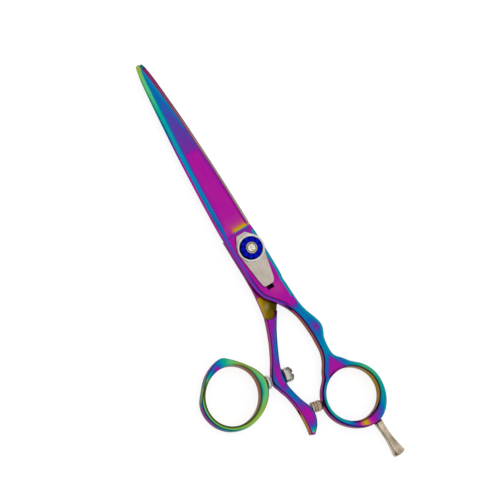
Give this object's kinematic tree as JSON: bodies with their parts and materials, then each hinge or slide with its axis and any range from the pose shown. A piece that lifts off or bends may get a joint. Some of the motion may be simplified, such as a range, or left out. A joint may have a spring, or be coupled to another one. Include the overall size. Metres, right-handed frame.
{
  "type": "thinning shears",
  "caption": "Hairdressing thinning shears with a toothed rear blade, a swivel thumb ring, a dial-tensioned pivot with a leaf spring, a bumper and a finger rest.",
  "frame": {"origin": "on the pivot axis, at the underside of the pivot bolt's flat head, on which the closed shears rest", "axes": "+Y from the pivot to the blade tips, +Z along the pivot axis from the bolt's head to the dial, +X towards the finger-ring side"},
  "size_m": [0.0664, 0.1805, 0.0088],
  "materials": {
    "front_coat": "polished steel with a rainbow titanium coat, violet and magenta to teal",
    "rear_coat": "polished steel with a rainbow titanium coat, blue and violet",
    "ring_coat": "polished steel with a rainbow titanium coat, green with blue and violet",
    "satin_steel": "satin",
    "bright_steel": "polished",
    "bolt_steel": "satin",
    "bearing_bronze": "machined",
    "slip_plastic": "smooth low-friction plastic",
    "dial_blue": "glossy dark blue coat",
    "crystal": "clear cut crystal",
    "dark_washer": "dark nylon",
    "bumper_coat": "smoky brown ribbed bumper",
    "nickel_steel": "polished warm nickel",
    "black_rubber": "matt"
  },
  "bodies": {
    "finger_side": {"finger_half": "front_coat", "pivot_bolt": "bolt_steel", "leaf_spring": "satin_steel", "seat_washer": "bright_steel", "spring_washer": "bolt_steel", "rest_washer": "black_rubber"},
    "thumb_side": {"thumb_half": "rear_coat", "pivot_sleeve": "bearing_bronze", "slip_washer": "slip_plastic", "swivel_sleeve": "satin_steel", "swivel_head_washer": "dark_washer", "bumper": "bumper_coat", "bumper_stud": "bolt_steel"},
    "swivel_ring": {"thumb_ring": "ring_coat", "swivel_screw": "bright_steel", "swivel_ring_washer": "bright_steel"},
    "dial": {"tension_dial": "dial_blue", "dial_bezel": "bright_steel", "dial_crystal": "crystal"},
    "rest": {"finger_rest": "nickel_steel"}
  },
  "joints": [
    {"name": "blade_pivot", "type": "hinge", "parent": "finger_side", "child": "thumb_side", "pos_m": [0, 0, 0.0036], "axis": [0, 0, -1], "range_deg": [0, 60]},
    {"name": "thumb_swivel", "type": "hinge", "parent": "thumb_side", "child": "swivel_ring", "pos_m": [-0.017, -0.04795, 0.003], "axis": [0.9829, -0.1839, 0], "continuous": true},
    {"name": "dial_turn", "type": "hinge", "parent": "finger_side", "child": "dial", "pos_m": [0, 0, 0.008], "axis": [0, 0, 1], "continuous": true},
    {"name": "rest_turn", "type": "hinge", "parent": "finger_side", "child": "rest", "pos_m": [0.008, -0.08215, 0.003], "axis": [0.0523, -0.9986, 0], "continuous": true}
  ]
}
